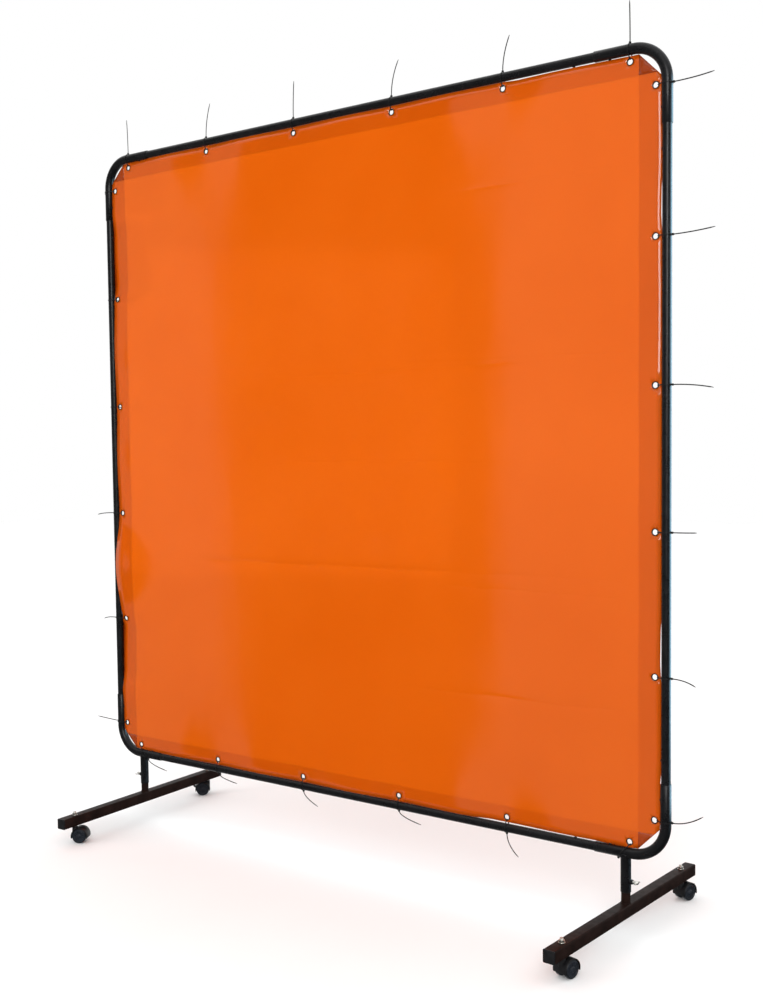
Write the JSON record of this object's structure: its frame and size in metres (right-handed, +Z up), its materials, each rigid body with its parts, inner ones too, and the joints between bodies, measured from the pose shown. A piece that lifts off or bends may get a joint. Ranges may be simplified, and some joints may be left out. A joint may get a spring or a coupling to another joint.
{
  "type": "welding curtain screen",
  "caption": "Rolling welding screen: a translucent orange PVC curtain tied with cable ties into a round-cornered square tube frame, on two foot bars with twin-wheel casters.",
  "frame": {"origin": "on the floor, under the middle of the curtain frame, at the bottom centre of the bounding box", "axes": "+Z up, +X along the screen to the right as seen from the front, -Y towards the front; the curtain lies in the XZ plane"},
  "size_m": [2.0703, 0.6906, 2.1682],
  "materials": {
    "black_powder_coat": "satin black powder coat on the frame tubes",
    "base_powder_coat": "dark brown-black satin powder coat on the foot bars",
    "zinc_plate": "bright zinc-plated steel hardware",
    "black_plastic": "moulded black plastic",
    "wheel_plastic": "moulded black nylon wheels",
    "orange_pvc": "glossy translucent orange PVC sheet",
    "black_nylon": "black nylon cable ties"
  },
  "bodies": {
    "frame": {"bottom_left_elbow": "black_powder_coat", "bottom_rail": "black_powder_coat", "bottom_right_elbow": "black_powder_coat", "bottom_tie_1": "black_nylon", "bottom_tie_2": "black_nylon", "bottom_tie_3": "black_nylon", "bottom_tie_4": "black_nylon", "bottom_tie_5": "black_nylon", "bottom_tie_6": "black_nylon", "curtain": "orange_pvc", "left_tie_1": "black_nylon", "left_tie_2": "black_nylon", "left_tie_3": "black_nylon", "left_tie_4": "black_nylon", "left_tie_5": "black_nylon", "left_tie_6": "black_nylon", "left_upright": "black_powder_coat", "right_tie_1": "black_nylon", "right_tie_2": "black_nylon", "right_tie_3": "black_nylon", "right_tie_4": "black_nylon", "right_tie_5": "black_nylon", "right_tie_6": "black_nylon", "right_upright": "black_powder_coat", "top_left_elbow": "black_powder_coat", "top_rail": "black_powder_coat", "top_right_elbow": "black_powder_coat", "top_tie_1": "black_nylon", "top_tie_2": "black_nylon", "top_tie_3": "black_nylon", "top_tie_4": "black_nylon", "top_tie_5": "black_nylon", "top_tie_6": "black_nylon"},
    "left_foot": {"left_foot_bar": "base_powder_coat", "left_front_cap": "black_plastic", "left_front_stem": "zinc_plate", "left_rear_cap": "black_plastic", "left_rear_stem": "zinc_plate"},
    "left_wing_bolt": {"left_wing_bolt": "zinc_plate"},
    "right_foot": {"right_foot_bar": "base_powder_coat", "right_front_cap": "black_plastic", "right_front_stem": "zinc_plate", "right_rear_cap": "black_plastic", "right_rear_stem": "zinc_plate"},
    "right_wing_bolt": {"right_wing_bolt": "zinc_plate"},
    "right_front_caster": {"right_front_housing": "black_plastic"},
    "right_front_wheel_a": {"right_front_wheel_a": "wheel_plastic"},
    "right_front_wheel_b": {"right_front_wheel_b": "wheel_plastic"},
    "right_rear_caster": {"right_rear_housing": "black_plastic"},
    "right_rear_wheel_a": {"right_rear_wheel_a": "wheel_plastic"},
    "right_rear_wheel_b": {"right_rear_wheel_b": "wheel_plastic"},
    "right_rear_brake": {"right_rear_brake": "black_plastic"},
    "left_front_caster": {"left_front_housing": "black_plastic"},
    "left_front_wheel_a": {"left_front_wheel_a": "wheel_plastic"},
    "left_front_wheel_b": {"left_front_wheel_b": "wheel_plastic"},
    "left_rear_caster": {"left_rear_housing": "black_plastic"},
    "left_rear_wheel_a": {"left_rear_wheel_a": "wheel_plastic"},
    "left_rear_wheel_b": {"left_rear_wheel_b": "wheel_plastic"},
    "left_rear_brake": {"left_rear_brake": "black_plastic"}
  },
  "joints": [
    {"name": "left_foot_turn", "type": "hinge", "parent": "frame", "child": "left_foot", "pos_m": [-0.825, 0, 0.081], "axis": [0, 0, 1], "continuous": true},
    {"name": "left_wing_bolt_turn", "type": "hinge", "parent": "frame", "child": "left_wing_bolt", "pos_m": [-0.845, 0, 0.134], "axis": [-1, 0, 0], "continuous": true},
    {"name": "right_foot_turn", "type": "hinge", "parent": "frame", "child": "right_foot", "pos_m": [0.825, 0, 0.081], "axis": [0, 0, 1], "continuous": true},
    {"name": "right_wing_bolt_turn", "type": "hinge", "parent": "frame", "child": "right_wing_bolt", "pos_m": [0.845, 0, 0.134], "axis": [1, 0, 0], "continuous": true},
    {"name": "right_front_swivel", "type": "hinge", "parent": "right_foot", "child": "right_front_caster", "pos_m": [0.81104, -0.29067, 0.048], "axis": [0, 0, 1], "continuous": true},
    {"name": "right_front_wheel_a_roll", "type": "hinge", "parent": "right_front_caster", "child": "right_front_wheel_a", "pos_m": [0.81457, -0.27506, 0.021], "axis": [-0.9753, 0.2207, 0], "continuous": true},
    {"name": "right_front_wheel_b_roll", "type": "hinge", "parent": "right_front_caster", "child": "right_front_wheel_b", "pos_m": [0.81457, -0.27506, 0.021], "axis": [-0.9753, 0.2207, 0], "continuous": true},
    {"name": "right_rear_swivel", "type": "hinge", "parent": "right_foot", "child": "right_rear_caster", "pos_m": [0.83896, 0.29067, 0.048], "axis": [0, 0, 1], "continuous": true},
    {"name": "right_rear_wheel_a_roll", "type": "hinge", "parent": "right_rear_caster", "child": "right_rear_wheel_a", "pos_m": [0.84384, 0.3059, 0.021], "axis": [-0.9524, 0.3049, 0], "continuous": true},
    {"name": "right_rear_wheel_b_roll", "type": "hinge", "parent": "right_rear_caster", "child": "right_rear_wheel_b", "pos_m": [0.84384, 0.3059, 0.021], "axis": [-0.9524, 0.3049, 0], "continuous": true},
    {"name": "right_rear_brake_press", "type": "hinge", "parent": "right_rear_caster", "child": "right_rear_brake", "pos_m": [0.84384, 0.3059, 0.021], "axis": [-0.9524, 0.3049, 0], "range_deg": [0, 12]},
    {"name": "left_front_swivel", "type": "hinge", "parent": "left_foot", "child": "left_front_caster", "pos_m": [-0.81104, -0.29067, 0.048], "axis": [0, 0, 1], "continuous": true},
    {"name": "left_front_wheel_a_roll", "type": "hinge", "parent": "left_front_caster", "child": "left_front_wheel_a", "pos_m": [-0.79758, -0.28201, 0.021], "axis": [-0.541, 0.841, 0], "continuous": true},
    {"name": "left_front_wheel_b_roll", "type": "hinge", "parent": "left_front_caster", "child": "left_front_wheel_b", "pos_m": [-0.79758, -0.28201, 0.021], "axis": [-0.541, 0.841, 0], "continuous": true},
    {"name": "left_rear_swivel", "type": "hinge", "parent": "left_foot", "child": "left_rear_caster", "pos_m": [-0.83896, 0.29067, 0.048], "axis": [0, 0, 1], "continuous": true},
    {"name": "left_rear_wheel_a_roll", "type": "hinge", "parent": "left_rear_caster", "child": "left_rear_wheel_a", "pos_m": [-0.85032, 0.2794, 0.021], "axis": [0.704, -0.7102, 0], "continuous": true},
    {"name": "left_rear_wheel_b_roll", "type": "hinge", "parent": "left_rear_caster", "child": "left_rear_wheel_b", "pos_m": [-0.85032, 0.2794, 0.021], "axis": [0.704, -0.7102, 0], "continuous": true},
    {"name": "left_rear_brake_press", "type": "hinge", "parent": "left_rear_caster", "child": "left_rear_brake", "pos_m": [-0.85032, 0.2794, 0.021], "axis": [0.704, -0.7102, 0], "range_deg": [0, 12]}
  ]
}
